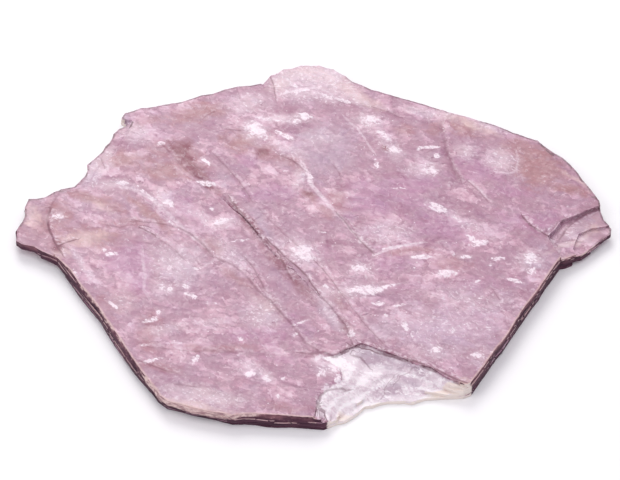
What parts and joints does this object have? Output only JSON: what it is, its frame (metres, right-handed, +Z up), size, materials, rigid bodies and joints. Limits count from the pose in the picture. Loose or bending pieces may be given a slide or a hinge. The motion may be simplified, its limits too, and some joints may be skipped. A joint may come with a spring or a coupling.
{
  "type": "mica crystal",
  "caption": "Flat, roughly six-sided cleavage plate of translucent lilac-pink mica with dark layered edges, split steps and small lifted flakes.",
  "frame": {"origin": "middle of the plate's box, on the surface that the plate lies on", "axes": "+X along the plate's longest side-to-side length, +Y across it towards the broken lobe at the back, +Z up through its thickness"},
  "size_m": [0.0804, 0.0664, 0.0026],
  "materials": {
    "lilac_mica": "pearly cleavage face, cloudy and a little translucent, with dark purple-brown layered edges"
  },
  "bodies": {
    "root": {"mica_crystal": "lilac_mica"}
  },
  "joints": []
}
